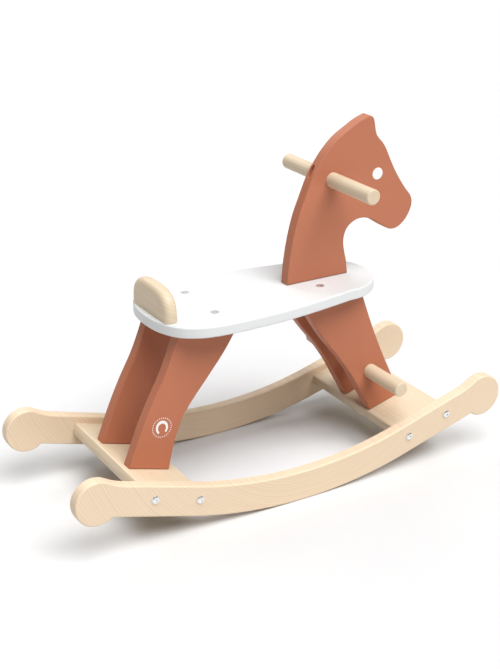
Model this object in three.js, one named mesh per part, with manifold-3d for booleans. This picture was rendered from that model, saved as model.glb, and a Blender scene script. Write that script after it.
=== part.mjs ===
// A child's rocking horse in wood: two rockers joined by two crossboards, four painted legs, a white
// seat with a backrest lip, a painted neck and head board, a handle bar and a foot rest.
// Millimetres. +X is the way the horse faces, +Y is its left, +Z is up, the floor is at z = 0.
import * as THREE from "three";
import { mergeVertices } from "three/addons/utils/BufferGeometryUtils.js";
import Module from "manifold-3d";

const wasm = await Module();
wasm.setup();

// Driving dimensions
const gap = 0.3; // clearance between pieces that touch
const boardThick = 18; // rockers, crossboards, legs and head
const overallWidth = 259; // over the outer faces of the rockers

const rocker = {
  radius: 649, // rolling edge
  halfAngle: THREE.MathUtils.degToRad(16.14), // the arc runs straight on from here
  depth: 45, // band height, square to the edge
  lobeX: 318,
  lobeZ: 84.7,
  lobeRadius: 32,
  blend: 110, // hollow between band and lobe
  round: 2.5,
};
const crossboard = {
  width: 88,
  midHeight: 25.5, // middle of the board above the rolling edge
  rearX: -204.5,
  frontX: 214,
  round: 3,
};
const bolt = {
  pitch: 70, // between the two bolts of one joint
  shift: { rear: -2.2, front: 1 }, // of the pair, outwards from the middle of the crossboard
  shank: 6,
  length: 50,
  head: 11,
  headHeight: 2.6,
  nut: 10,
  nutLength: 13,
  nutInset: 32, // nut axis from the crossboard's end
};
const seat = { top: 276.5, thick: 16, round: 2.5 };
const rearLegY = 43.5;
const frontLegY = 32;
const dowel = 22;
const handle = { x: 117, z: 422, length: 218 };
const footRest = { x: 171, z: 126, length: 240 };
const backrest = { rearX: -174, thick: 20, halfWidth: 52.5, height: 43.8, fullness: 3.1, round: 9 };
const paintedRound = 2; // edges of the legs and the head
const screw = { shank: 5, head: 11.5, headHeight: 3.4, length: 50 };
const flush = 0.4; // how far screw heads sit below the wood
const seatScrew = { rearX: -95, frontX: 84 };
const seatPin = { rearX: -132, frontX: 124, depth: 26 };
const backrestScrew = { x: -164, y: 24, length: 40 };
const footScrew = { rearX: -205, frontX: 198, halfPitch: 15 };
const footRestScrew = { x: 201.2, z: 126, length: 24 };
const headScrew = { xs: [68, 122], length: 60 };
const headPinXs = [84, 106];
const lockScrew = { x: 83, z: 438, head: 8, length: 26 };
const recess = { width: 9, length: 21, depth: 9, y: 2 }; // in the neck's rear edge, over the lock screw
const pin = { diameter: 8, length: 36 };

const rockerY = (overallWidth - boardThick) / 2;
const innerY = overallWidth / 2 - boardThick;
const seatUnder = seat.top - seat.thick;

// Solids and booleans
function toSolid(geometry) {
  const bare = geometry.index ? geometry.clone() : geometry;
  bare.deleteAttribute("normal");
  bare.deleteAttribute("uv");
  const merged = mergeVertices(bare, 1e-4);
  return new wasm.Manifold(
    new wasm.Mesh({
      numProp: 3,
      vertProperties: new Float32Array(merged.attributes.position.array),
      triVerts: new Uint32Array(merged.index.array),
    }),
  );
}

function toGeometry(solid) {
  const mesh = solid.getMesh();
  const geometry = new THREE.BufferGeometry();
  geometry.setAttribute("position", new THREE.BufferAttribute(mesh.vertProperties, 3));
  geometry.setIndex(new THREE.BufferAttribute(mesh.triVerts, 1));
  const flat = geometry.toNonIndexed();
  flat.computeVertexNormals();
  return flat;
}

function cut(body, tools) {
  return tools.reduce((left, tool) => left.subtract(tool), body);
}

const vec = (x, y, z) => new THREE.Vector3(x, y, z);

// Moves a geometry made along +Y from the origin so that it starts at a point and runs along a direction.
function aim(geometry, start, direction) {
  const turn = new THREE.Quaternion().setFromUnitVectors(vec(0, 1, 0), direction.clone().normalize());
  geometry.applyQuaternion(turn);
  return geometry.translate(start.x, start.y, start.z);
}

// A bore of one diameter from a point along a direction.
function bore(start, direction, length, diameter, sides = 16) {
  const cylinder = new THREE.CylinderGeometry(diameter / 2, diameter / 2, length, sides);
  cylinder.translate(0, length / 2, 0);
  return toSolid(aim(cylinder, start, direction));
}

// A body turned from a profile of [radius, distance along the axis] pairs, on the axis at both ends.
function turned(profile, start, direction, sides = 12) {
  const points = profile.map(([r, h]) => new THREE.Vector2(r, h));
  return toSolid(aim(new THREE.LatheGeometry(points, sides), start, direction));
}

// Outlines
function arc(centre, radius, from, to, steps) {
  const points = [];
  for (let i = 0; i <= steps; i++) {
    const a = from + ((to - from) * i) / steps;
    points.push(new THREE.Vector2(centre.x + radius * Math.cos(a), centre.y + radius * Math.sin(a)));
  }
  return points;
}

function smooth(pairs, steps) {
  const curve = new THREE.SplineCurve(pairs.map(([x, y]) => new THREE.Vector2(x, y)));
  return curve.getPoints(steps);
}

function withoutRepeats(points) {
  return points.filter((p, i) => p.distanceTo(points[(i + 1) % points.length]) > 0.05);
}

// A board from an outline, with rounded edges, standing upright across Y.
function uprightBoard(points, yMiddle, thick, round, segments = 2) {
  const shape = new THREE.Shape(withoutRepeats(points));
  const geometry = new THREE.ExtrudeGeometry(shape, {
    depth: thick - 2 * round,
    bevelThickness: round,
    bevelSize: round,
    bevelOffset: -round,
    bevelSegments: segments,
    curveSegments: 1,
  });
  geometry.translate(0, 0, -(thick - 2 * round) / 2);
  geometry.rotateX(Math.PI / 2);
  geometry.translate(0, yMiddle, 0);
  return toSolid(geometry);
}

// The rocker's straight end run: origin, direction and normal of the rolling edge's tangent, front end.
const runStart = new THREE.Vector2(
  rocker.radius * Math.sin(rocker.halfAngle),
  rocker.radius * (1 - Math.cos(rocker.halfAngle)),
);
const runAlong = new THREE.Vector2(Math.cos(rocker.halfAngle), Math.sin(rocker.halfAngle));
const runUp = new THREE.Vector2(-runAlong.y, runAlong.x);

function onRun(along, up) {
  return runStart.clone().addScaledVector(runAlong, along).addScaledVector(runUp, up);
}

function rockerOutline() {
  const { radius, halfAngle, depth, lobeRadius, blend } = rocker;
  const down = -Math.PI / 2;
  const hub = new THREE.Vector2(0, radius);
  const lobe = new THREE.Vector2(rocker.lobeX, rocker.lobeZ);
  const along = lobe.clone().sub(runStart).dot(runAlong);
  const up = lobe.clone().sub(runStart).dot(runUp);
  const notch = onRun(along - Math.sqrt(lobeRadius ** 2 - up ** 2), 0);
  const reach = Math.sqrt((blend + lobeRadius) ** 2 - (depth + blend - up) ** 2);
  const hollow = onRun(along - reach, depth + blend);
  const fromNotch = notch.clone().sub(lobe).angle() - 2 * Math.PI;
  const toHollow = hollow.clone().sub(lobe).angle();
  const hollowStart = lobe.clone().sub(hollow).angle();
  const hollowEnd = runUp.clone().negate().angle();
  const half = [
    ...arc(hub, radius, down, down + halfAngle, 10),
    ...arc(lobe, lobeRadius, fromNotch, toHollow, 22),
    ...arc(hollow, blend, hollowStart, hollowEnd, 4),
    ...arc(hub, radius - depth, down + halfAngle, down, 10),
  ];
  const mirrored = half.map((p) => new THREE.Vector2(-p.x, p.y)).reverse();
  return [...half, ...mirrored];
}

// Crossboards, each tilted like the rocker's end run. end is +1 at the front and -1 at the rear.
function crossboardFrame(end) {
  const middleX = end > 0 ? crossboard.frontX : -crossboard.rearX;
  const up = crossboard.midHeight;
  const along = (middleX - runStart.x - runUp.x * up) / runAlong.x;
  const middle = onRun(along, up);
  const frame = {
    middle: vec(end * middle.x, 0, middle.y),
    along: vec(end * runAlong.x, 0, runAlong.y),
    up: vec(end * runUp.x, 0, runUp.y),
  };
  frame.at = (a, y, h) =>
    frame.middle.clone().addScaledVector(frame.along, a).addScaledVector(frame.up, h).setY(y);
  // height of the board's top face over a given x
  frame.topZ = (x) => {
    const top = frame.at(0, 0, boardThick / 2);
    return top.z + ((x - top.x) * frame.along.z) / frame.along.x;
  };
  return frame;
}
const frames = { rear: crossboardFrame(-1), front: crossboardFrame(1) };

function crossboardSolid(frame) {
  const w = crossboard.width / 2;
  const h = boardThick / 2;
  const r = crossboard.round;
  const corners = [[1, 1], [-1, 1], [-1, -1], [1, -1]];
  const points = corners.flatMap(([sx, sy], i) =>
    arc(new THREE.Vector2(sx * (w - r), sy * (h - r)), r, (i * Math.PI) / 2, ((i + 1) * Math.PI) / 2, 3),
  );
  const length = 2 * (innerY - gap);
  const geometry = new THREE.ExtrudeGeometry(new THREE.Shape(points), { depth: length, bevelEnabled: false });
  geometry.translate(0, 0, -length / 2);
  geometry.rotateX(Math.PI / 2);
  geometry.rotateY(Math.atan2(-frame.along.z, frame.along.x) + (frame.along.x < 0 ? Math.PI : 0));
  geometry.translate(frame.middle.x, 0, frame.middle.z);
  return toSolid(geometry);
}

// Button-head bolts through the rockers, with barrel nuts in the crossboards.
function boltPlaces() {
  const places = [];
  for (const end of ["rear", "front"]) {
    for (const side of ["left", "right"]) {
      const s = side === "left" ? 1 : -1;
      [-1, 1].forEach((step, i) => {
        const centre = frames[end].at((step * bolt.pitch) / 2 + bolt.shift[end], 0, 0);
        places.push({
          name: `${end}_${side}_${i + 1}`,
          end,
          side,
          face: centre.clone().setY((s * overallWidth) / 2),
          inward: vec(0, -s, 0),
          nut: centre.clone().setY(s * (innerY - gap - bolt.nutInset)),
        });
      });
    }
  }
  return places;
}

function boltSolid({ face, inward }) {
  const r = bolt.head / 2;
  const h = bolt.headHeight;
  const start = face.clone().addScaledVector(inward, -h - gap);
  const shank = bolt.shank / 2;
  const end = h + gap + bolt.length;
  const body = turned(
    [
      [0, 0], [r * 0.55, 0], [r * 0.83, h * 0.25], [r * 0.97, h * 0.6], [r, h],
      [shank, h], [shank, end - 1], [shank - 1, end], [0, end],
    ],
    start,
    inward,
    18,
  );
  const socket = bore(start.clone().addScaledVector(inward, -1), inward, 1 + h * 0.75, 4.6, 6);
  return body.subtract(socket);
}

function nutSolid({ nut, end, face, inward }) {
  const up = frames[end].up;
  const start = nut.clone().addScaledVector(up, -bolt.nutLength / 2);
  const body = turned(
    [[0, 0], [4.4, 0], [5, 0.6], [5, bolt.nutLength - 0.6], [4.4, bolt.nutLength], [0, bolt.nutLength]],
    start,
    up,
  );
  const slot = new THREE.BoxGeometry(1.4, 1.6, 14);
  return cut(body, [bore(face, inward, 70, bolt.shank + 2 * gap), toSolid(aim(slot, start, up))]);
}

// Countersunk wood screw: the head's top face is at the start point.
function screwSolid({ start, direction, length = screw.length, head = screw.head }) {
  const r = head / 2;
  const s = screw.shank / 2;
  const body = turned(
    [
      [0, 0], [r - 0.3, 0], [r, 0.4], [r, 0.8], [s, screw.headHeight],
      [s, length - 5], [0.8, length], [0, length],
    ],
    start,
    direction,
  );
  return body.subtract(bore(start.clone().addScaledVector(direction, -1), direction, 3.2, 3.6, 6));
}

// The countersink and clearance hole that takes such a screw.
function screwHole({ start, direction, length = screw.length, head = screw.head }, grow = gap) {
  const r = head / 2 + grow;
  const s = screw.shank / 2 + grow;
  return turned(
    [[0, -6], [r, -6], [r, 0.9], [s, screw.headHeight + 0.5], [s, length + 1], [0, length + 1]],
    start,
    direction,
    14,
  );
}

function pinSolid({ start, direction, length = pin.length }) {
  const r = pin.diameter / 2;
  return turned(
    [[0, 0], [r - 1, 0], [r, 1], [r, length - 1], [r - 1, length], [0, length]],
    start,
    direction,
  );
}

function pinHole({ start, direction, length = pin.length }) {
  const from = start.clone().addScaledVector(direction, -0.5);
  return bore(from, direction, length + 1, pin.diameter + 2 * gap);
}

// Seat outline in plan: a wide round rear that narrows to a small round front.
function seatOutline() {
  const half = [
    ...smooth(
      [
        [-181.8, 0], [-180.8, -20], [-176.7, -40], [-167.5, -60.5], [-152, -76], [-126, -87.5],
        [-85, -91.5], [-40, -91.2], [0, -89], [40, -83.5], [76, -77.5], [112, -70.5],
      ],
      30,
    ),
    ...arc(new THREE.Vector2(114, 0), 71, -1.45, 0, 8),
  ];
  const mirrored = half.map((p) => new THREE.Vector2(p.x, -p.y)).reverse();
  return [...half, ...mirrored];
}

function seatSolid() {
  const { thick, round } = seat;
  const shape = new THREE.Shape(withoutRepeats(seatOutline()));
  const geometry = new THREE.ExtrudeGeometry(shape, {
    depth: thick - 2 * round,
    bevelThickness: round,
    bevelSize: round,
    bevelOffset: -round,
    bevelSegments: 2,
  });
  geometry.translate(0, 0, seatUnder + round);
  return toSolid(geometry);
}

// Legs: outlines in the XZ plane, with feet cut along the crossboards' top faces.
function rearLegOutline() {
  const footRear = -236.8;
  const footFront = -176;
  const top = seatUnder - gap;
  return [
    ...smooth(
      [
        [-59, top], [-84, 221], [-114, 184], [-137, 156.5], [-151, 137], [-161, 115],
        [-169, 89], [footFront, frames.rear.topZ(footFront) + gap],
      ],
      26,
    ),
    ...smooth(
      [
        [footRear, frames.rear.topZ(footRear) + gap], [-217.5, 126], [-199, 165],
        [-180.5, 199], [-167, 230], [-156, top],
      ],
      16,
    ),
  ].reverse();
}

function frontLegOutline() {
  const footRear = 173.4;
  const footFront = 222.5;
  const top = seatUnder - gap;
  return [
    ...smooth(
      [
        [49, top], [61, 235], [75, 212], [91, 189], [109, 166], [127, 141], [141, 119], [153, 97],
        [footRear, frames.front.topZ(footRear) + gap],
      ],
      26,
    ),
    ...smooth(
      [
        [footFront, frames.front.topZ(footFront) + gap], [212, 109], [190, 157], [171, 203], [150, top],
      ],
      16,
    ),
  ];
}

// Neck and head in one board.
function headOutline() {
  const base = seat.top + gap;
  const back = smooth(
    [
      [178, 507], [163, 502], [146, 493], [126, 481], [109, 465.5], [95, 448], [83, 429],
      [70, 399], [60, 374], [51, 340], [45, 303], [43, base],
    ],
    26,
  );
  const throat = smooth(
    [
      [147, base], [145, 295], [141, 312], [139, 327], [142, 341], [149, 350], [161, 356], [175, 356.5],
      [187, 352], [201, 343], [213, 335.5], [224, 331], [236, 332.5], [248, 341], [256, 352.5],
      [260, 366], [257, 378], [247, 390.5], [236, 406], [226, 422.5], [218, 438], [210, 454.5],
      [203, 465], [195.5, 473], [191, 481], [189, 490],
    ],
    60,
  );
  const ear = smooth([[189, 490], [187.5, 498], [184.5, 504], [178, 507]], 6);
  return [...back, ...throat, ...ear];
}

// The handle's lock screw runs from the back edge of the neck to the handle's middle.
const lockStart = vec(lockScrew.x, recess.y, lockScrew.z);
const lockAim = vec(handle.x, recess.y, handle.z).sub(lockStart).normalize();

function backrestSolid() {
  const { halfWidth, height, fullness, thick, round, rearX } = backrest;
  // a superellipse: 2 would be an ellipse, more is fuller at the shoulders
  const fuller = (value) => Math.sign(value) * Math.abs(value) ** (2 / fullness);
  const points = arc(new THREE.Vector2(0, 0), 1, Math.PI, 0, 28).map(
    (p) => new THREE.Vector2(fuller(p.x) * halfWidth, fuller(Math.max(p.y, 0)) * height),
  );
  points.push(new THREE.Vector2(halfWidth, -2 * round), new THREE.Vector2(-halfWidth, -2 * round));
  const geometry = new THREE.ExtrudeGeometry(new THREE.Shape(points.reverse()), {
    depth: thick - 2 * round,
    bevelThickness: round,
    bevelSize: round,
    bevelOffset: -round,
    bevelSegments: 5,
  });
  geometry.translate(0, 0, round);
  geometry.rotateX(Math.PI / 2);
  geometry.rotateZ(Math.PI / 2);
  geometry.translate(rearX, 0, seat.top + gap);
  const below = new THREE.BoxGeometry(100, 200, 60).translate(rearX, 0, seat.top + gap - 30);
  return toSolid(geometry).subtract(toSolid(below));
}

function barSolid(length, x, z) {
  const r = dowel / 2;
  return turned(
    [
      [0, 0], [r - 2, 0], [r - 0.6, 0.6], [r, 2],
      [r, length - 2], [r - 0.6, length - 0.6], [r - 2, length], [0, length],
    ],
    vec(x, -length / 2, z),
    vec(0, 1, 0),
    36,
  );
}

function barHole(x, z) {
  return bore(vec(x, -140, z), vec(0, 1, 0), 280, dowel + 2 * gap, 36);
}

// Screws and pins, listed with the pieces that they pass through
const up = vec(0, 0, 1);
const down = vec(0, 0, -1);
const fixings = [];
const sides = [["left", 1], ["right", -1]];
for (const [side, s] of sides) {
  const rearY = s * rearLegY;
  const frontY = s * frontLegY;
  fixings.push(
    { name: `seat_screw_rear_${side}`, start: vec(seatScrew.rearX, rearY, seat.top - flush / 2), direction: down,
      in: ["seat_board", `rear_leg_${side}`] },
    { name: `seat_screw_front_${side}`, start: vec(seatScrew.frontX, frontY, seat.top - flush / 2), direction: down,
      in: ["seat_board", `front_leg_${side}`] },
    { name: `seat_pin_rear_${side}`, start: vec(seatPin.rearX, rearY, seatUnder - seatPin.depth), direction: up,
      pin: true, in: ["seat_board", `rear_leg_${side}`] },
    { name: `seat_pin_front_${side}`, start: vec(seatPin.frontX, frontY, seatUnder - seatPin.depth), direction: up,
      pin: true, in: ["seat_board", `front_leg_${side}`] },
    { name: `backrest_screw_${side}`, start: vec(backrestScrew.x, s * backrestScrew.y, seatUnder + flush),
      direction: up, length: backrestScrew.length, in: ["seat_board", "seat_backrest"] },
    { name: `foot_rest_screw_${side}`, start: vec(footRestScrew.x, frontY, footRestScrew.z),
      direction: vec(-1, 0, 0), length: footRestScrew.length, in: [`front_leg_${side}`, "foot_rest"] },
  );
  for (const [end, footX, y] of [["rear", footScrew.rearX, rearY], ["front", footScrew.frontX, frontY]]) {
    const frame = frames[end];
    const middle = (footX - frame.middle.x) / frame.along.x;
    [-1, 1].forEach((step, i) => {
      fixings.push({
        name: `${end}_foot_screw_${side}_${i + 1}`,
        start: frame.at(middle + step * footScrew.halfPitch, y, -boardThick / 2 + flush),
        direction: frame.up.clone(),
        in: [`${end}_crossboard`, `${end}_leg_${side}`],
      });
    });
  }
}
for (const [i, x] of headScrew.xs.entries()) {
  fixings.push({ name: `head_screw_${i + 1}`, start: vec(x, 0, seatUnder + flush), direction: up,
    length: headScrew.length, in: ["seat_board", "head_board"] });
}
for (const [i, x] of headPinXs.entries()) {
  fixings.push({ name: `head_pin_${i + 1}`, start: vec(x, 0, seatUnder + seat.thick / 2 - 2), direction: up,
    pin: true, in: ["seat_board", "head_board"] });
}
fixings.push({ name: "handle_lock_screw", start: lockStart.clone().addScaledVector(lockAim, recess.depth),
  direction: lockAim, length: lockScrew.length, head: lockScrew.head, in: ["head_board", "handle_bar"] });

const bolts = boltPlaces();

// Everything that is cut out of one piece for its fixings.
function cutsFor(piece) {
  const cuts = fixings
    .filter((f) => f.in.includes(piece))
    .map((f) => (f.pin ? pinHole(f) : screwHole(f)));
  for (const place of bolts) {
    if (piece === `rocker_${place.side}`) {
      const outside = place.face.clone().addScaledVector(place.inward, -2);
      cuts.push(bore(outside, place.inward, boardThick + 4, bolt.shank + 2 * gap));
    }
    if (piece === `${place.end}_crossboard`) {
      const frame = frames[place.end];
      cuts.push(bore(place.face, place.inward, bolt.length + 2, bolt.shank + 2 * gap));
      const below = place.nut.clone().addScaledVector(frame.up, -boardThick);
      cuts.push(bore(below, frame.up, boardThick + bolt.nutLength / 2 + gap, bolt.nut + 2 * gap));
    }
  }
  return cuts;
}

// Materials
const finishes = {
  birch: { color: 0xe9cfa6, roughness: 0.55, metalness: 0 },
  terracotta: { color: 0xc27a5c, roughness: 0.5, metalness: 0 },
  white: { color: 0xf4f4f2, roughness: 0.45, metalness: 0 },
  steel: { color: 0xc8cacc, roughness: 0.25, metalness: 1 },
};

const group = new THREE.Group();
group.name = "rocking_horse";

function add(name, finish, solid) {
  const material = new THREE.MeshStandardMaterial(finishes[finish]);
  const mesh = new THREE.Mesh(toGeometry(cut(solid, cutsFor(name))), material);
  mesh.name = name;
  group.add(mesh);
}

for (const [side, s] of sides) {
  add(`rocker_${side}`, "birch", uprightBoard(rockerOutline(), s * rockerY, boardThick, rocker.round));
  const rearLeg = uprightBoard(rearLegOutline(), s * rearLegY, boardThick, paintedRound);
  add(`rear_leg_${side}`, "terracotta", rearLeg);
  const frontLeg = uprightBoard(frontLegOutline(), s * frontLegY, boardThick, paintedRound);
  add(`front_leg_${side}`, "terracotta", frontLeg.subtract(barHole(footRest.x, footRest.z)));
}
add("rear_crossboard", "birch", crossboardSolid(frames.rear));
add("front_crossboard", "birch", crossboardSolid(frames.front));
add("seat_board", "white", seatSolid());
add("seat_backrest", "birch", backrestSolid());

// The oval recess: its long way lies along the neck's edge, square to the screw.
function recessSolid() {
  const before = 20;
  const oval = new THREE.CylinderGeometry(0.5, 0.5, before + recess.depth + gap, 32);
  oval.scale(recess.width, 1, recess.length);
  oval.translate(0, (before + recess.depth + gap) / 2, 0);
  oval.rotateY(Math.atan2(-lockAim.z, lockAim.x));
  return toSolid(aim(oval, lockStart.clone().addScaledVector(lockAim, -before), lockAim));
}

const head = uprightBoard(headOutline(), 0, boardThick, paintedRound);
add("head_board", "terracotta", cut(head, [barHole(handle.x, handle.z), recessSolid()]));
add("handle_bar", "birch", barSolid(handle.length, handle.x, handle.z));
add("foot_rest", "birch", barSolid(footRest.length, footRest.x, footRest.z));

for (const place of bolts) {
  add(`rocker_bolt_${place.name}`, "steel", boltSolid(place));
  add(`barrel_nut_${place.name}`, "steel", nutSolid(place));
}
for (const fixing of fixings) {
  add(fixing.name, fixing.pin ? "birch" : "steel", fixing.pin ? pinSolid(fixing) : screwSolid(fixing));
}

export default group;
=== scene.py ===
# A wooden rocking horse around its CAD model: fine boards, turned bars, fasteners, prints and finishes.
# Metres, +X is the way the horse faces, +Y its left, +Z up, the floor at z = 0.
import math

import bmesh
import bpy
from mathutils import Matrix, Quaternion, Vector


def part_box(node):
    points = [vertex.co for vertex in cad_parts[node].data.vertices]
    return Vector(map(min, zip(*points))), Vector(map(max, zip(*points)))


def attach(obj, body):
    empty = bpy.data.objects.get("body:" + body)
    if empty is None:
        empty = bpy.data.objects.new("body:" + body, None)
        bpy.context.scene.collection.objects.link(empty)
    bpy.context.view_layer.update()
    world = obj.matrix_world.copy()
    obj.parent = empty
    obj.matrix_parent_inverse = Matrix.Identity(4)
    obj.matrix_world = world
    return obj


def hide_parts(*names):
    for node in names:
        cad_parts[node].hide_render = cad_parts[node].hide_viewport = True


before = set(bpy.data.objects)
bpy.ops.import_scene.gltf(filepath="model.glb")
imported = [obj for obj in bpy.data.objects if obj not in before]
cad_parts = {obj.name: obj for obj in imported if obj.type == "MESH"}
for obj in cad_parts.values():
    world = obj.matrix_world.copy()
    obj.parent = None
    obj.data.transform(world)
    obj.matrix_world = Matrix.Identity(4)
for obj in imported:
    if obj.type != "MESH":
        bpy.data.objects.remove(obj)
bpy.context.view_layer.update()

mm = 0.001
print("frame loaded:", len(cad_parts), "CAD nodes")


# Small helpers for node trees.
def addNode(tree, kind, inputs=None, **settings):
    node = tree.nodes.new(kind)
    for key, value in settings.items():
        setattr(node, key, value)
    for key, value in (inputs or {}).items():
        if isinstance(value, bpy.types.NodeSocket):
            tree.links.new(value, node.inputs[key])
        else:
            node.inputs[key].default_value = value
    return node


def calc(tree, operation, first, second=0.0, third=0.0):
    return addNode(tree, "ShaderNodeMath", {0: first, 1: second, 2: third}, operation=operation).outputs[0]


def half(tree, value):
    return calc(tree, "DIVIDE", value, 2.0)


def split(tree, vector):
    return addNode(tree, "ShaderNodeSeparateXYZ", {0: vector}).outputs


def noise(tree, vector, scale, detail):
    inputs = {"Vector": vector, "Scale": scale, "Detail": detail}
    return addNode(tree, "ShaderNodeTexNoise", inputs).outputs[0]


def newGroup(name, kind, inputs, outputs):
    tree = bpy.data.node_groups.new(name, kind)
    for socketName, socketType, default in inputs:
        socket = tree.interface.new_socket(socketName, in_out="INPUT", socket_type=socketType)
        if default is not None:
            socket.default_value = default
    for socketName, socketType in outputs:
        tree.interface.new_socket(socketName, in_out="OUTPUT", socket_type=socketType)
    return tree, tree.nodes.new("NodeGroupInput").outputs, tree.nodes.new("NodeGroupOutput").inputs


# Shader groups that several finishes share.
ringShape = {"wanderScale": 9.0, "toneScale": 5.0, "noiseShare": 0.7, "waveShare": 0.3}


def makeWoodRings():
    # Growth rings are circles round the Z axis of the vector; fibres are fine streaks beside them.
    tree, given, out = newGroup(
        "woodRings",
        "ShaderNodeTree",
        [
            ("Vector", "NodeSocketVector", None),
            ("Ring Spacing", "NodeSocketFloat", 0.006),
            ("Wobble", "NodeSocketFloat", 0.006),
            ("Fibres Across", "NodeSocketFloat", 900.0),
            ("Fibres Around", "NodeSocketFloat", 900.0),
            ("Fibres Along", "NodeSocketFloat", 14.0),
        ],
        [("Rings", "NodeSocketFloat"), ("Fibres", "NodeSocketFloat"), ("Tone", "NodeSocketFloat")],
    )
    wander = noise(tree, given["Vector"], ringShape["wanderScale"], 2.0)
    parts = split(tree, given["Vector"])
    bend = calc(tree, "MULTIPLY", calc(tree, "SUBTRACT", wander, 0.5), given["Wobble"])
    squares = calc(tree, "ADD", calc(tree, "MULTIPLY", parts[0], parts[0]),
                   calc(tree, "MULTIPLY", parts[1], parts[1]))
    radius = calc(tree, "ADD", calc(tree, "SQRT", squares), bend)
    count = calc(tree, "DIVIDE", radius, given["Ring Spacing"])
    late = addNode(tree, "ShaderNodeTexNoise", {"W": count, "Scale": 1.0, "Detail": 2.5, "Roughness": 0.6},
                   noise_dimensions="1D")
    wave = calc(tree, "MULTIPLY_ADD", calc(tree, "SINE", calc(tree, "MULTIPLY", count, math.tau)), 0.5, 0.5)
    rings = calc(tree, "ADD", calc(tree, "MULTIPLY", late.outputs[0], ringShape["noiseShare"]),
                 calc(tree, "MULTIPLY", wave, ringShape["waveShare"]))
    turn = calc(tree, "ARCTAN2", parts[1], parts[0])
    around = calc(tree, "MULTIPLY", calc(tree, "MULTIPLY", turn, radius), given["Fibres Around"])
    across = calc(tree, "MULTIPLY", radius, given["Fibres Across"])
    along = calc(tree, "MULTIPLY", parts[2], given["Fibres Along"])
    streak = addNode(tree, "ShaderNodeCombineXYZ", {0: across, 1: around, 2: along})
    tree.links.new(rings, out["Rings"])
    tree.links.new(noise(tree, streak.outputs[0], 1.0, 2.0), out["Fibres"])
    tree.links.new(noise(tree, given["Vector"], ringShape["toneScale"], 1.0), out["Tone"])
    return tree


def makePaintFilm():
    # Sprayed satin paint: a faint orange peel, soft mottling and a slow change of gloss.
    tree, given, out = newGroup(
        "paintFilm",
        "ShaderNodeTree",
        [
            ("Vector", "NodeSocketVector", None),
            ("Peel Scale", "NodeSocketFloat", 420.0),
            ("Mottle Scale", "NodeSocketFloat", 11.0),
            ("Gloss Scale", "NodeSocketFloat", 37.0),
        ],
        [("Height", "NodeSocketFloat"), ("Mottle", "NodeSocketFloat"), ("Gloss Change", "NodeSocketFloat")],
    )
    smear = noise(tree, given["Vector"], given["Gloss Scale"], 3.0)
    tree.links.new(noise(tree, given["Vector"], given["Peel Scale"], 1.0), out["Height"])
    tree.links.new(noise(tree, given["Vector"], given["Mottle Scale"], 4.0), out["Mottle"])
    tree.links.new(calc(tree, "SUBTRACT", smear, 0.5), out["Gloss Change"])
    return tree


def makeTurnedMetal():
    # Fine tool marks and small stains on plated steel.
    tree, given, out = newGroup(
        "turnedMetal",
        "ShaderNodeTree",
        [
            ("Vector", "NodeSocketVector", None),
            ("Mark Scale", "NodeSocketFloat", 2600.0),
            ("Stain Scale", "NodeSocketFloat", 240.0),
        ],
        [("Height", "NodeSocketFloat"), ("Stain", "NodeSocketFloat")],
    )
    tree.links.new(noise(tree, given["Vector"], given["Mark Scale"], 2.0), out["Height"])
    tree.links.new(noise(tree, given["Vector"], given["Stain Scale"], 3.0), out["Stain"])
    return tree


woodRings = makeWoodRings()
paintFilm = makePaintFilm()
turnedMetal = makeTurnedMetal()


# Finishes.
def newMaterial(name):
    material = bpy.data.materials.new(name)
    material.use_nodes = True
    tree = material.node_tree
    tree.nodes.clear()
    shader = addNode(tree, "ShaderNodeBsdfPrincipled")
    output = addNode(tree, "ShaderNodeOutputMaterial")
    tree.links.new(shader.outputs[0], output.inputs[0])
    place = addNode(tree, "ShaderNodeTexCoord").outputs["Object"]
    return material, tree, shader, place


def useGroup(tree, group, inputs):
    return addNode(tree, "ShaderNodeGroup", inputs, node_tree=group).outputs


def mixColor(tree, factor, first, second):
    node = addNode(tree, "ShaderNodeMix", data_type="RGBA")
    for socket, value in ((node.inputs[0], factor), (node.inputs[6], first), (node.inputs[7], second)):
        if isinstance(value, bpy.types.NodeSocket):
            tree.links.new(value, socket)
        else:
            socket.default_value = value if socket.type == "VALUE" else (*value, 1.0)
    return node.outputs[2]


def finishSurface(tree, shader, change, roughness, height, values):
    # Gloss that changes over the surface by a mask, and a fine bump.
    gloss = calc(tree, "MULTIPLY_ADD", change, values["glossChange"], roughness)
    tree.links.new(gloss, shader.inputs["Roughness"])
    bump = addNode(tree, "ShaderNodeBump", {
        "Strength": values["bump"], "Distance": values["bumpHeight"], "Height": height,
    })
    tree.links.new(bump.outputs[0], shader.inputs["Normal"])


birch = {
    "pale": (0.80, 0.645, 0.475),
    "ring": (0.64, 0.475, 0.31),
    "fibre": (0.66, 0.52, 0.36),
    "ringStrength": 0.8,
    "ringSoftness": 0.1,
    "fibreStrength": 0.30,
    "toneStrength": 0.12,
    "roughness": 0.44,
    "glossChange": 0.12,
    "bump": 0.10,
    "bumpHeight": 0.2 * mm,
}
# A darker copy of the birch colours: painted shade, not a different wood
paintedShadeBirch = {**birch, "pale": (0.70, 0.585, 0.43), "ring": (0.56, 0.43, 0.285)}
beech = {**birch, "pale": (0.66, 0.45, 0.27), "ring": (0.5, 0.31, 0.17), "fibre": (0.45, 0.27, 0.15)}
quarter = math.pi / 2
alongY = (quarter, 0.0, 0.0)


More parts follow.
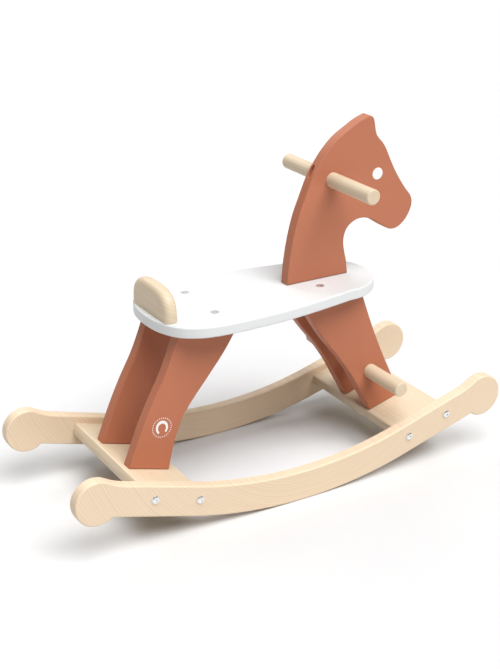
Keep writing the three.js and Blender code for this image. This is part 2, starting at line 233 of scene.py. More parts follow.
def woodMaterial(name, colours, heart, spacing, wobble, around, along, turn=alongY):
    # heart is the centre line of the rings in the object's frame, and turn lays the rings' axis along +Z.
    material, tree, shader, place = newMaterial(name)
    moved = addNode(tree, "ShaderNodeMapping", {"Vector": place, "Location": heart, "Rotation": turn},
                    vector_type="TEXTURE")
    grain = useGroup(tree, woodRings, {
        "Vector": moved.outputs[0], "Ring Spacing": spacing, "Wobble": wobble,
        "Fibres Around": around, "Fibres Along": along,
    })
    rings = calc(tree, "SMOOTH_MIN", grain["Rings"], 1.0, colours["ringSoftness"])
    ringFactor = calc(tree, "MULTIPLY", rings, colours["ringStrength"])
    ringed = mixColor(tree, ringFactor, colours["pale"], colours["ring"])
    fibreFactor = calc(tree, "MULTIPLY", grain["Fibres"], colours["fibreStrength"])
    streaked = mixColor(tree, fibreFactor, ringed, colours["fibre"])
    toneFactor = calc(tree, "MULTIPLY", grain["Tone"], colours["toneStrength"])
    tree.links.new(mixColor(tree, toneFactor, streaked, colours["pale"]), shader.inputs["Base Color"])
    finishSurface(tree, shader, grain["Fibres"], colours["roughness"], grain["Fibres"], colours)
    return material


paint = {"specular": 0.22, "glossChange": 0.16, "bump": 0.06, "bumpHeight": 0.1 * mm}
steel = {"glossChange": 0.15, "bump": 0.05, "bumpHeight": 0.05 * mm}


def paintMaterial(name, colour, shade, roughness):
    material, tree, shader, place = newMaterial(name)
    film = useGroup(tree, paintFilm, {"Vector": place})
    tree.links.new(mixColor(tree, film["Mottle"], colour, shade), shader.inputs["Base Color"])
    shader.inputs["Specular IOR Level"].default_value = paint["specular"]
    finishSurface(tree, shader, film["Gloss Change"], roughness, film["Height"], paint)
    return material


def steelMaterial(name, colour, stained, roughness):
    material, tree, shader, place = newMaterial(name)
    metal = useGroup(tree, turnedMetal, {"Vector": place})
    tree.links.new(mixColor(tree, metal["Stain"], colour, stained), shader.inputs["Base Color"])
    shader.inputs["Metallic"].default_value = 1.0
    finishSurface(tree, shader, metal["Stain"], roughness, metal["Height"], steel)
    return material


rockerWood = woodMaterial("rockerBirch", birch, heart=(0.015, 0.0, 0.245),
                          spacing=4.4 * mm, wobble=12 * mm, around=16.0, along=700.0)
# The crossboards, bars and backrest take the darker birch copy, a painted shade
crossWood = woodMaterial("crossboardBirch", paintedShadeBirch, heart=(0.05, 0.0, -0.16),
                         spacing=5 * mm, wobble=10 * mm, around=900.0, along=12.0)
barWood = woodMaterial("barBirch", paintedShadeBirch, heart=(0.12, 0.0, 0.36),
                       spacing=3.5 * mm, wobble=6 * mm, around=900.0, along=12.0)
backrestWood = woodMaterial("backrestBirch", paintedShadeBirch, heart=(-0.20, 0.0, 0.22),
                            spacing=5 * mm, wobble=10 * mm, around=900.0, along=14.0)
pinWood = woodMaterial("pinBeech", beech, heart=(0.0, 0.0, 0.0),
                       spacing=4 * mm, wobble=4 * mm, around=900.0, along=20.0, turn=(0.0, 0.0, 0.0))
terracotta = paintMaterial("terracottaPaint", (0.475, 0.171, 0.094), (0.45, 0.160, 0.087), 0.45)
seatWhite = paintMaterial("seatWhite", (0.69, 0.70, 0.70), (0.67, 0.68, 0.685), 0.35)
printWhite = paintMaterial("printWhite", (0.85, 0.85, 0.85), (0.82, 0.82, 0.82), 0.4)
brightSteel = steelMaterial("brightSteel", (0.90, 0.91, 0.93), (0.82, 0.83, 0.86), 0.20)
screwSteel = steelMaterial("screwSteel", (0.86, 0.86, 0.87), (0.76, 0.76, 0.78), 0.36)
print("finishes ready:", len(bpy.data.materials))


# Meshes.
meshing = {
    "sharpAngle": 35.0,  # degrees between faces, beyond which an edge stays sharp
    "weld": 0.002 * mm,  # CAD vertices closer than this are one
    "levelSlack": 0.02 * mm,  # how far from a board's outline level a vertex may lie
    "wallAngle": 8.0,  # degrees between faces, beyond which an edge is part of the outline
    "fineAngle": 2.5,  # degrees between two steps of a refined outline
    "longRun": 25 * mm,  # a run this long, and so many times its neighbour, is a straight one
    "runRatio": 2.5,
    "mitreLimit": 0.2,
    "barSides": 48,
    "boreSides": 32,
}


def keep(name, mesh, material, nodes):
    # A finished piece: at the origin, smooth, on the one body, standing for its CAD nodes.
    piece = bpy.data.objects.new(name, mesh)
    bpy.context.scene.collection.objects.link(piece)
    mesh.materials.clear()
    mesh.materials.append(material)
    mesh.shade_smooth()
    mesh.set_sharp_from_angle(angle=math.radians(meshing["sharpAngle"]))
    weighted = piece.modifiers.new("faceNormals", "WEIGHTED_NORMAL")
    weighted.keep_sharp = True
    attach(piece, "root")
    if nodes:
        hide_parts(*nodes)
    return piece


def mergedCopy(node):
    shape = bmesh.new()
    shape.from_mesh(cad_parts[node].data)
    bmesh.ops.remove_doubles(shape, verts=shape.verts, dist=meshing["weld"])
    return shape


def wallOutline(node, across, rounding):
    # The widest outline of a CAD board, in order, as points in the plane square to an axis.
    low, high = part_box(node)
    level = high[across] - rounding
    plane = [axis for axis in range(3) if axis != across]
    shape = mergedCopy(node)
    beside = {}
    for edge in shape.edges:
        flat = all(abs(v.co[across] - level) < meshing["levelSlack"] for v in edge.verts)
        if flat and edge.calc_face_angle(0.0) > math.radians(meshing["wallAngle"]):
            for v in edge.verts:
                beside.setdefault(v.index, []).append(edge.other_vert(v).index)
    shape.verts.ensure_lookup_table()
    loops = []
    while beside:
        start = min(beside, key=lambda i: len(beside[i]))  # an open end where there is one
        loop = [start]
        ways = beside.pop(start)
        while any(n in beside for n in ways):
            loop.append(next(n for n in ways if n in beside))
            ways = beside.pop(loop[-1])
        loops.append([Vector([shape.verts[i].co[axis] for axis in plane]) for i in loop])
    shape.free()

    def span(loop):
        return max(p[0] for p in loop) - min(p[0] for p in loop)

    loop = max(loops, key=span)
    area = sum(a[0] * b[1] - b[0] * a[1] for a, b in zip(loop, loop[1:] + loop[:1]))
    return loop if area > 0 else loop[::-1]


def refine(loop, cornerAngle=40.0):
    # A smooth curve through the points, with steps of a few degrees, that keeps the real corners sharp.
    count = len(loop)
    tangents = []
    for i in range(count):
        before, after = loop[i] - loop[i - 1], loop[(i + 1) % count] - loop[i]
        if abs(before.angle_signed(after, 0.0)) > math.radians(cornerAngle):
            tangents.append((before.normalized(), after.normalized()))
        elif max(before.length, after.length) > max(
                meshing["longRun"], meshing["runRatio"] * min(before.length, after.length)):
            # where a straight run meets a curve, the run's own direction
            run = before if before.length > after.length else after
            tangents.append((run.normalized(), run.normalized()))
        else:
            # the direction of the circle through the three points
            along = before.normalized() * after.length + after.normalized() * before.length
            tangents.append((along.normalized(), along.normalized()))
    fine = []
    for i in range(count):
        a, b = loop[i], loop[(i + 1) % count]
        leaving, arriving = tangents[i][1], tangents[(i + 1) % count][0]
        steps = max(1, math.ceil(math.degrees(leaving.angle(arriving, 0.0)) / meshing["fineAngle"]))
        length = (b - a).length
        for k in range(steps):
            t = k / steps
            fine.append(a * (1 + 2 * t) * (1 - t) ** 2 + b * t * t * (3 - 2 * t)
                        + leaving * length * t * (1 - t) ** 2 - arriving * length * t * t * (1 - t))
    return fine


def inset(loop, distance):
    # The outline moved inwards; the limit keeps sharp corners from running away.
    moved = []
    for i, p in enumerate(loop):
        before = (p - loop[i - 1]).normalized()
        after = (loop[(i + 1) % len(loop)] - p).normalized()
        n1, n2 = Vector((before.y, -before.x)), Vector((after.y, -after.x))
        moved.append(p - (n1 + n2) * (distance / max(1 + n1.dot(n2), meshing["mitreLimit"])))
    return moved


def skinOver(shape, rings):
    # Joins rings of vertices, in order, into a closed body.
    for lower, upper in zip(rings, rings[1:]):
        for i in range(len(lower)):
            j = (i + 1) % len(lower)
            shape.faces.new((lower[i], lower[j], upper[j], upper[i]))
    shape.faces.new(rings[0][::-1])
    shape.faces.new(rings[-1])


def asMesh(name, shape):
    bmesh.ops.recalc_face_normals(shape, faces=shape.faces)
    mesh = bpy.data.meshes.new(name)
    shape.to_mesh(mesh)
    shape.free()
    return mesh


def boardMesh(name, outline, across, low, high, rounding, steps=5):
    # A slab between two levels of an axis, with its edges rounded over.
    shape = bmesh.new()
    plane = [axis for axis in range(3) if axis != across]
    rings = []
    for side in (0, 1):
        for k in range(steps + 1):
            angle = quarter * (steps - k if side == 0 else k) / steps
            drop = rounding * (1 - math.sin(angle))
            level = low + drop if side == 0 else high - drop
            ring = []
            for p in inset(outline, rounding * (1 - math.cos(angle))):
                co = Vector((0.0, 0.0, 0.0))
                co[plane[0]], co[plane[1]], co[across] = p[0], p[1], level
                ring.append(shape.verts.new(co))
            rings.append(ring)
    skinOver(shape, rings)
    return asMesh(name, shape)


def latheMesh(profile, start, direction, sides=meshing["barSides"]):
    # A closed body turned from (distance, radius) pairs about a line.
    shape = bmesh.new()
    turn = Vector((0, 0, 1)).rotation_difference(direction).to_matrix().to_4x4()
    place = Matrix.Translation(start) @ turn
    rings = []
    for along, radius in profile:
        ring = []
        for i in range(sides):
            a = math.tau * i / sides
            ring.append(shape.verts.new(place @ Vector((radius * math.cos(a), radius * math.sin(a), along))))
        rings.append(ring)
    skinOver(shape, rings)
    return asMesh("turned", shape)


def cutAway(mesh, cutters):
    # Takes bodies out of a mesh, and gives the result as a plain mesh.
    if not cutters:
        return mesh
    body = bpy.data.objects.new("body", mesh)
    bpy.context.scene.collection.objects.link(body)
    tools = []
    for cutter in cutters:
        tool = bpy.data.objects.new("tool", cutter)
        bpy.context.scene.collection.objects.link(tool)
        tools.append(tool)
        modifier = body.modifiers.new("cut", "BOOLEAN")
        modifier.operation = "DIFFERENCE"
        modifier.solver = "EXACT"
        modifier.object = tool
    evaluated = body.evaluated_get(bpy.context.evaluated_depsgraph_get())
    result = bpy.data.meshes.new_from_object(evaluated)
    for spare in [body, *tools]:
        bpy.data.objects.remove(spare)
    return result


# Where the CAD model holds its fixings.
def lineOf(node):
    # The wide end, the direction and the length of a turned CAD piece, from its own vertices.
    turns, endDepth = 30, 1.2 * mm
    shape = mergedCopy(node)
    points = [v.co.copy() for v in shape.verts]
    shape.free()
    centre = sum(points, Vector()) / len(points)
    aim = (max(points, key=lambda p: (p - centre).length) - centre).normalized()
    for _ in range(turns):
        aim = sum(((p - centre) * (p - centre).dot(aim) for p in points), Vector()).normalized()
    reach = [(p - centre).dot(aim) for p in points]
    low, high = min(reach), max(reach)

    def width(end):
        return max(((p - centre) - aim * r).length for p, r in zip(points, reach) if abs(r - end) < endDepth)

    if width(high) > width(low):
        aim, low, high = -aim, -high, -low
    return {"start": centre + aim * low, "aim": aim, "length": high - low}


fixings = {n: lineOf(n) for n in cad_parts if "_screw" in n or "_pin_" in n}
tilt = math.radians(16.14)  # of the crossboards, as the rockers' ends run


def boardUp(node):
    return Vector((-math.sin(tilt) if "front" in node else math.sin(tilt), 0.0, math.cos(tilt)))


bores = {
    "clearance": 0.3 * mm,  # round screw heads and the turned bars
    "beyond": mm,  # past a fixing's end
    "screwRadius": 2.8 * mm,
    "openAbove": 6 * mm,  # how far a countersink's cutter reaches out of the board
    "sinkTop": 0.9 * mm,
    "sinkFoot": 3.9 * mm,
    "pinRadius": 4.3 * mm,
    "pinBefore": 0.5 * mm,
    "bolt": 6.6 * mm,
    "boltReach": 62.5 * mm,
    "boltStart": 140 * mm,  # outside the rockers, on either side
    "nut": 10.6 * mm,
    "nutBelow": 18 * mm,
    "nutAbove": 6.8 * mm,
}


def headSize(node):
    return 8 * mm if node == "handle_lock_screw" else 11.5 * mm


def screwRoom(node):
    # The countersink and bore that a screw needs, or the bore of a pin.
    line = fixings[node]
    end = line["length"] + bores["beyond"]
    if "_pin_" in node:
        start = line["start"] - line["aim"] * bores["pinBefore"]
        profile = [(0.0, bores["pinRadius"]), (end, bores["pinRadius"])]
    else:
        start = line["start"]
        wide = headSize(node) / 2 + bores["clearance"]
        profile = [(-bores["openAbove"], wide), (bores["sinkTop"], wide),
                   (bores["sinkFoot"], bores["screwRadius"]), (end, bores["screwRadius"])]
    return latheMesh(profile, start, line["aim"], meshing["boreSides"])


def roomsIn(*starts):
    return [screwRoom(n) for n in sorted(fixings) if n.startswith(starts)]


# Boards.
edgeRadius = {"rocker": 2.5 * mm, "leg": 2 * mm, "head": 2 * mm, "seat": 2.5 * mm, "crossboard": 0.0}
headCorner = 62.0  # degrees; the head's outline turns this sharply without a corner


def board(name, node, across, rounding, material, cutters=(), cornerAngle=40.0):
    # A CAD board made finer, with its edges rounded and its fixings' room cut out.
    low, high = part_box(node)
    outline = refine(wallOutline(node, across, rounding), cornerAngle)
    mesh = boardMesh(name, outline, across, low[across], high[across], rounding)
    return keep(name, cutAway(mesh, cutters), material, [node])


def hole(start, direction, length, diameter):
    return latheMesh([(0.0, diameter / 2), (length, diameter / 2)], Vector(start), Vector(direction))


bar = {"diameter": 22 * mm, "endRound": 2 * mm, "sides": 64, "rings": 96}
handleLow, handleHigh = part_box("handle_bar")
footLow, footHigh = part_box("foot_rest")


def barHole(low, high):
    x, z = (low.x + high.x) / 2, (low.z + high.z) / 2
    return hole((x, low.y, z), (0, 1, 0), high.y - low.y, bar["diameter"] + 2 * bores["clearance"])


boltPlaces = []
for end in ("rear", "front"):
    for side in ("left", "right"):
        for number in (1, 2):
            boltPlaces.append((f"rocker_bolt_{end}_{side}_{number}", 1 if side == "left" else -1))


def middle(node):
    low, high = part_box(node)
    return (low + high) / 2


for side, sign in (("left", 1), ("right", -1)):
    low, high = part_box(f"rocker_{side}")
    rooms = []
    for node, boltSign in boltPlaces:
        if boltSign == sign:
            centre = middle(node)
            rooms.append(hole((centre.x, low.y - bores["beyond"], centre.z), (0, 1, 0),
                              high.y - low.y + 2 * bores["beyond"], bores["bolt"]))
    board(f"rocker_board_{side}", f"rocker_{side}", 1, edgeRadius["rocker"], rockerWood, rooms)
    for end in ("rear", "front"):
        rooms = [screwRoom(n) for n in sorted(fixings) if end in n and side in n
                 and n.startswith(("seat_screw", "seat_pin", end))]
        if end == "front":
            rooms += [barHole(footLow, footHigh), screwRoom(f"foot_rest_screw_{side}")]
        board(f"{end}_leg_board_{side}", f"{end}_leg_{side}", 1, edgeRadius["leg"],
              terracotta, rooms)
print("rockers and legs ready")

lockRecess = {"mouth": (83 * mm, 2 * mm, 438 * mm), "width": 9 * mm, "length": 21 * mm, "depth": 9 * mm,
              "before": 20 * mm}
lockStart = Vector(lockRecess["mouth"])
handleMiddle = middle("handle_bar")
lockAim = (Vector((handleMiddle.x, lockStart.y, handleMiddle.z)) - lockStart).normalized()


def ovalRecess(values):
    # An oval bore whose long way lies along the neck's edge, square to the lock screw.
    # It is turned one metre wide, then scaled to its width and length.
    mesh = latheMesh([(-values["before"], 0.5), (values["depth"], 0.5)], lockStart, lockAim)
    longWay = lockAim.cross(Vector((0, 1, 0)))
    flatten = Matrix.Scale(values["width"], 4, (0, 1, 0)) @ Matrix.Scale(values["length"], 4, longWay)
    mesh.transform(Matrix.Translation(lockStart) @ flatten @ Matrix.Translation(-lockStart))
    return mesh


board("head", "head_board", 1, edgeRadius["head"], terracotta, [
    barHole(handleLow, handleHigh), ovalRecess(lockRecess), *roomsIn("head_screw", "head_pin", "handle_lock"),
], cornerAngle=headCorner)
board("seat", "seat_board", 2, edgeRadius["seat"], seatWhite,
      roomsIn("seat_screw", "seat_pin", "backrest_screw", "head_screw", "head_pin"))
for end in ("rear", "front"):
    rooms = roomsIn(f"{end}_foot_screw")
    for node, sign in boltPlaces:
        if end in node:
            centre = middle(node)
            nut = node.replace("rocker_bolt", "barrel_nut")
            up = boardUp(nut)
            rooms.append(hole((centre.x, sign * bores["boltStart"], centre.z), (0, -sign, 0),
                              bores["boltReach"], bores["bolt"]))
            rooms.append(hole(middle(nut) - up * bores["nutBelow"], up,
                              bores["nutBelow"] + bores["nutAbove"], bores["nut"]))
    board(f"crossboard_{end}", f"{end}_crossboard", 1, edgeRadius["crossboard"], crossWood, rooms)


def makeBackrest():
    values = {"rounding": 9 * mm, "foot": 20 * mm, "footSlack": 0.1 * mm, "steps": 9}
    low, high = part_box("seat_backrest")
    outline = wallOutline("seat_backrest", 0, values["rounding"])
    for p in outline:
        if p.y < low.z + values["footSlack"]:
            p.y -= values["foot"]  # the foot runs on down, and is cut level afterwards
    mesh = boardMesh("backrest", refine(outline), 0, low.x, high.x, values["rounding"], values["steps"])
    shape = bmesh.new()
    shape.from_mesh(mesh)
    cut = bmesh.ops.bisect_plane(shape, geom=[*shape.verts, *shape.edges, *shape.faces],
                                 plane_co=(0, 0, low.z), plane_no=(0, 0, -1), clear_outer=True)
    rim = [item for item in cut["geom_cut"] if isinstance(item, bmesh.types.BMEdge)]
    bmesh.ops.contextual_create(shape, geom=rim)
    bmesh.ops.recalc_face_normals(shape, faces=shape.faces)
    shape.to_mesh(mesh)
    shape.free()
    keep("backrest", cutAway(mesh, roomsIn("backrest_screw")), backrestWood, ["seat_backrest"])


makeBackrest()
print("head, seat, backrest and crossboards ready")


# Geometry nodes: turned bars.
def meshFromTree(tree, name, inputs, points=None):
    # Runs a geometry tree on a small mesh of places, and gives back a plain mesh.
    carrier = bpy.data.meshes.new(name)
    carrier.from_pydata([p for p, _ in points or [((0, 0, 0), None)]], [], [])
    if points:
        aim = carrier.attributes.new("aim", "FLOAT_VECTOR", "POINT")
        aim.data.foreach_set("vector", [c for _, direction in points for c in direction])
    holder = bpy.data.objects.new(name, carrier)
    bpy.context.scene.collection.objects.link(holder)
    modifier = holder.modifiers.new("shape", "NODES")
    modifier.node_group = tree
    for item in tree.interface.items_tree:
        if item.in_out == "INPUT" and item.name in inputs:
            modifier[item.identifier] = inputs[item.name]
    holder.update_tag()
    evaluated = holder.evaluated_get(bpy.context.evaluated_depsgraph_get())
    mesh = bpy.data.meshes.new_from_object(evaluated)
    bpy.data.objects.remove(holder)
    return mesh


def pointPlace(tree):
    return split(tree, addNode(tree, "GeometryNodeInputPosition").outputs[0])


def moveTo(tree, blank, x, y, z):
    # The blank's points, each moved to its own new place.
    place = addNode(tree, "ShaderNodeCombineXYZ", {0: x, 1: y, 2: z}).outputs[0]
    return addNode(tree, "GeometryNodeSetPosition", {
        "Geometry": blank.outputs["Mesh"], "Position": place,
    }).outputs[0]


def finishTree(tree, given, out, geometry):
    real = addNode(tree, "GeometryNodeRealizeInstances", {"Geometry": geometry})
    painted = addNode(tree, "GeometryNodeSetMaterial", {
        "Geometry": real.outputs[0], "Material": given["Material"],
    })
    tree.links.new(painted.outputs[0], out["Geometry"])
    return tree


def makeBarTree():
    # A dowel along Y with rounded ends: rings gather near the ends, where the rounding is.
    tree, given, out = newGroup(
        "turnedBar",
        "GeometryNodeTree",
        [
            ("Geometry", "NodeSocketGeometry", None),
            ("Length", "NodeSocketFloat", 0.2),
            ("Diameter", "NodeSocketFloat", 0.022),
            ("End Round", "NodeSocketFloat", 0.002),
            ("Sides", "NodeSocketInt", 64),
            ("Rings", "NodeSocketInt", 96),
            ("Centre", "NodeSocketVector", None),
            ("Material", "NodeSocketMaterial", None),
        ],
        [("Geometry", "NodeSocketGeometry")],
    )
    radius = half(tree, given["Diameter"])
    blank = addNode(tree, "GeometryNodeMeshCylinder", {
        "Vertices": given["Sides"], "Side Segments": given["Rings"], "Fill Segments": 3,
        "Radius": radius, "Depth": given["Length"],
    })
    place = pointPlace(tree)
    halfLength = half(tree, given["Length"])
    share = calc(tree, "DIVIDE", place[2], halfLength)
    along = calc(tree, "MULTIPLY", calc(tree, "SINE", calc(tree, "MULTIPLY", share, quarter)), halfLength)
    left = calc(tree, "SUBTRACT", halfLength, calc(tree, "ABSOLUTE", along))
    short = calc(tree, "SUBTRACT", given["End Round"], calc(tree, "MINIMUM", left, given["End Round"]))
    squares = calc(tree, "SUBTRACT", calc(tree, "POWER", given["End Round"], 2.0),
                   calc(tree, "POWER", short, 2.0))
    rim = calc(tree, "ADD", calc(tree, "SUBTRACT", radius, given["End Round"]),
               calc(tree, "SQRT", calc(tree, "MAXIMUM", squares, 0.0)))
    scale = calc(tree, "DIVIDE", rim, radius)
    shaped = moveTo(tree, blank, calc(tree, "MULTIPLY", place[0], scale),
                    calc(tree, "MULTIPLY", place[1], scale), along)
    laid = addNode(tree, "GeometryNodeTransform", {
        "Geometry": shaped, "Rotation": alongY, "Translation": given["Centre"],
    })
    return finishTree(tree, given, out, laid.outputs[0])


barTree = makeBarTree()
for name, node, low, high in (
    ("handle", "handle_bar", handleLow, handleHigh),
    ("foot_bar", "foot_rest", footLow, footHigh),
):
    centre = (low + high) / 2
    mesh = meshFromTree(barTree, name, {
        "Length": high.y - low.y, "Diameter": bar["diameter"], "End Round": bar["endRound"],
        "Sides": bar["sides"], "Rings": bar["rings"], "Centre": tuple(centre), "Material": barWood,
    })
    keep(name, mesh, barWood, [node])
print("bars ready")


# Geometry nodes: fasteners, one tree for each kind, repeated on points that carry an aim.
def onPoints(tree, given, out, master):
    aim = addNode(tree, "GeometryNodeInputNamedAttribute", {"Name": "aim"}, data_type="FLOAT_VECTOR")
    turn = addNode(tree, "FunctionNodeAlignRotationToVector", {"Vector": aim.outputs[0]}, axis="Z")
    copies = addNode(tree, "GeometryNodeInstanceOnPoints", {
        "Points": given["Geometry"], "Instance": master, "Rotation": turn.outputs[0],
    })
    return finishTree(tree, given, out, copies.outputs[0])


def fastenerInputs(*sizes):
    return [("Geometry", "NodeSocketGeometry", None), *((n, "NodeSocketFloat", d) for n, d in sizes),
            ("Sides", "NodeSocketInt", 40), ("Material", "NodeSocketMaterial", None)]


def rod(tree, radius, bottom, top, sides):
    # A plain round bar along Z between two heights.
    body = addNode(tree, "GeometryNodeMeshCylinder", {
        "Vertices": sides, "Radius": radius, "Depth": calc(tree, "SUBTRACT", top, bottom),
    })
    lift = addNode(tree, "ShaderNodeCombineXYZ", {2: half(tree, calc(tree, "ADD", top, bottom))})
    return addNode(tree, "GeometryNodeTransform", {
        "Geometry": body.outputs["Mesh"], "Translation": lift.outputs[0]}).outputs[0]


def taper(tree, wide, narrow, bottom, height, sides):
    # A cone cut short, along Z from its wide end.
    cone = addNode(tree, "GeometryNodeMeshCone", {
        "Vertices": sides, "Radius Bottom": wide, "Radius Top": narrow, "Depth": height,
    })
    lift = addNode(tree, "ShaderNodeCombineXYZ", {2: bottom})
    return addNode(tree, "GeometryNodeTransform", {
        "Geometry": cone.outputs["Mesh"], "Translation": lift.outputs[0]}).outputs[0]


def joined(tree, operation, first, second):
    node = addNode(tree, "GeometryNodeMeshBoolean", operation=operation, solver="EXACT")
    if operation == "DIFFERENCE":
        tree.links.new(first, node.inputs["Mesh 1"])
        tree.links.new(second, node.inputs["Mesh 2"])
    else:
        for mesh in (second, first):
            tree.links.new(mesh, node.inputs["Mesh 2"])
    return node.outputs[0]


acrossFlats = math.sqrt(3)  # a hexagon's width over its corner radius
beyond = 10 * mm  # how far a cutter reaches out of a fastener


def hexagonSocket(tree, width, bottom, top):
    return rod(tree, calc(tree, "DIVIDE", width, acrossFlats), bottom, top, 6)


boltHead = {"curve": 0.92, "dome": 0.62, "overlap": 0.5 * mm}


def makeBoltTree():
    # Button head above z = 0 with a hexagon socket, shank below.
    tree, given, out = newGroup("buttonBolt", "GeometryNodeTree", fastenerInputs(
        ("Head Diameter", 0.012), ("Head Height", 0.0036), ("Shank Diameter", 0.006), ("Length", 0.05),
        ("Socket Width", 0.004), ("Socket Depth", 0.002)), [("Geometry", "NodeSocketGeometry")])
    radius = half(tree, given["Head Diameter"])
    blank = addNode(tree, "GeometryNodeMeshCylinder", {
        "Vertices": given["Sides"], "Side Segments": 4, "Fill Segments": 10,
        "Radius": radius, "Depth": given["Head Height"],
    })
    place = pointPlace(tree)
    squares = calc(tree, "ADD", calc(tree, "POWER", place[0], 2.0), calc(tree, "POWER", place[1], 2.0))
    share = calc(tree, "DIVIDE", squares, calc(tree, "POWER", radius, 2.0))
    dome = calc(tree, "SQRT", calc(tree, "MULTIPLY_ADD", share, -boltHead["curve"], 1.0))
    height = calc(tree, "MULTIPLY_ADD", dome, boltHead["dome"], 1.0 - boltHead["dome"])
    level = calc(tree, "ADD", calc(tree, "DIVIDE", place[2], given["Head Height"]), 0.5)
    lifted = calc(tree, "MULTIPLY", calc(tree, "MULTIPLY", level, height), given["Head Height"])
    head = moveTo(tree, blank, place[0], place[1], lifted)
    shank = rod(tree, half(tree, given["Shank Diameter"]),
                calc(tree, "MULTIPLY", given["Length"], -1.0), boltHead["overlap"], given["Sides"])
    body = joined(tree, "UNION", head, shank)
    socketFloor = calc(tree, "SUBTRACT", given["Head Height"], given["Socket Depth"])
    socket = hexagonSocket(tree, given["Socket Width"], socketFloor, beyond)
    return onPoints(tree, given, out, joined(tree, "DIFFERENCE", body, socket))


screwShape = {"rim": 0.6 * mm, "shankStart": mm, "tip": 6 * mm, "tipRadius": 0.8 * mm, "overlap": 0.1 * mm}


def makeScrewTree():
    # Countersunk head with its flat top at z = 0 and a hexagon socket; the screw runs along +Z.
    tree, given, out = newGroup("countersunkScrew", "GeometryNodeTree", fastenerInputs(
        ("Head Diameter", 0.0115), ("Head Height", 0.0034), ("Shank Diameter", 0.005), ("Length", 0.05),
        ("Socket Width", 0.004), ("Socket Depth", 0.0022)), [("Geometry", "NodeSocketGeometry")])
    radius, thin = half(tree, given["Head Diameter"]), half(tree, given["Shank Diameter"])
    sides, rim, tipLength = given["Sides"], screwShape["rim"], screwShape["tip"]
    shoulder = calc(tree, "SUBTRACT", given["Length"], tipLength)
    coneHeight = calc(tree, "SUBTRACT", given["Head Height"], rim)
    head = joined(tree, "UNION", rod(tree, radius, 0.0, rim, sides),
                  taper(tree, radius, thin, rim * 0.9, coneHeight, sides))
    shank = rod(tree, thin, screwShape["shankStart"], shoulder, sides)
    tip = taper(tree, thin, screwShape["tipRadius"],
                calc(tree, "SUBTRACT", shoulder, screwShape["overlap"]), tipLength, sides)
    body = joined(tree, "UNION", joined(tree, "UNION", head, shank), tip)
    socket = hexagonSocket(tree, given["Socket Width"], -beyond, given["Socket Depth"])
    return onPoints(tree, given, out, joined(tree, "DIFFERENCE", body, socket))


def makeNutTree():
    # Barrel nut along Z: a cross bore for the bolt and a slot in one end to turn it by.
    tree, given, out = newGroup("barrelNut", "GeometryNodeTree", fastenerInputs(
        ("Diameter", 0.01), ("Length", 0.013), ("Bore", 0.0066), ("Slot Width", 0.0014),
        ("Slot Depth", 0.0016)), [("Geometry", "NodeSocketGeometry")])
    radius, top, sides = half(tree, given["Diameter"]), half(tree, given["Length"]), given["Sides"]
    low = calc(tree, "MULTIPLY", top, -1.0)
    edge = 0.6 * mm
    chamfer = edge * 1.1  # overlaps the barrel a little
    narrow = calc(tree, "SUBTRACT", radius, edge)
    barrel = rod(tree, radius, calc(tree, "ADD", low, edge), calc(tree, "SUBTRACT", top, edge), sides)
    lower = taper(tree, narrow, radius, low, chamfer, sides)
    upper = taper(tree, radius, narrow, calc(tree, "SUBTRACT", top, chamfer), chamfer, sides)
    body = joined(tree, "UNION", joined(tree, "UNION", barrel, lower), upper)
    bore = rod(tree, half(tree, given["Bore"]), -beyond, beyond, sides)
    across = addNode(tree, "GeometryNodeTransform", {"Geometry": bore, "Rotation": alongY})
    slotSize = addNode(tree, "ShaderNodeCombineXYZ", {
        0: 2 * beyond, 1: given["Slot Width"], 2: calc(tree, "MULTIPLY", given["Slot Depth"], 2.0)})
    slot = addNode(tree, "GeometryNodeMeshCube", {"Size": slotSize.outputs[0]})
    sunk = addNode(tree, "ShaderNodeCombineXYZ", {2: low})
    lowered = addNode(tree, "GeometryNodeTransform", {
        "Geometry": slot.outputs["Mesh"], "Translation": sunk.outputs[0],
    })
    bored = joined(tree, "DIFFERENCE", body, across.outputs[0])
    return onPoints(tree, given, out, joined(tree, "DIFFERENCE", bored, lowered.outputs[0]))


def makePinTree():
    # A fluted dowel along +Z with drawn-in ends.
    tree, given, out = newGroup("flutedPin", "GeometryNodeTree", fastenerInputs(
        ("Diameter", 0.008), ("Length", 0.036), ("Flutes", 14.0), ("Flute Depth", 0.0003),
        ("End Taper", 0.0015), ("Taper Slope", 0.7)), [("Geometry", "NodeSocketGeometry")])
    radius, halfLength = half(tree, given["Diameter"]), half(tree, given["Length"])
    blank = addNode(tree, "GeometryNodeMeshCylinder", {
        "Vertices": given["Sides"], "Side Segments": 48, "Fill Segments": 2,
        "Radius": radius, "Depth": given["Length"],
    })
    place = pointPlace(tree)
    turn = calc(tree, "MULTIPLY", calc(tree, "ARCTAN2", place[1], place[0]), given["Flutes"])
    groove = calc(tree, "MULTIPLY", calc(tree, "MULTIPLY_ADD", calc(tree, "COSINE", turn), 0.5, 0.5),
                  given["Flute Depth"])
    left = calc(tree, "SUBTRACT", halfLength, calc(tree, "ABSOLUTE", place[2]))
    drawn = calc(tree, "MAXIMUM", calc(tree, "SUBTRACT", given["End Taper"], left), 0.0)
    slim = calc(tree, "ADD", groove, calc(tree, "MULTIPLY", drawn, given["Taper Slope"]))
    scale = calc(tree, "SUBTRACT", 1.0, calc(tree, "DIVIDE", slim, radius))
    shaped = moveTo(tree, blank, calc(tree, "MULTIPLY", place[0], scale),
                    calc(tree, "MULTIPLY", place[1], scale), calc(tree, "ADD", place[2], halfLength))
    return onPoints(tree, given, out, shaped)


def fasteners(name, tree, sizes, places, material, nodes):
    mesh = meshFromTree(tree, name, {**sizes, "Material": material}, places)
    return keep(name, mesh, material, nodes)


def placesOf(start):
    # The CAD fixings whose names start so, and where each one stands.
    nodes = sorted(n for n in fixings if n.startswith(start))
    return nodes, [(tuple(fixings[n]["start"]), tuple(fixings[n]["aim"])) for n in nodes]


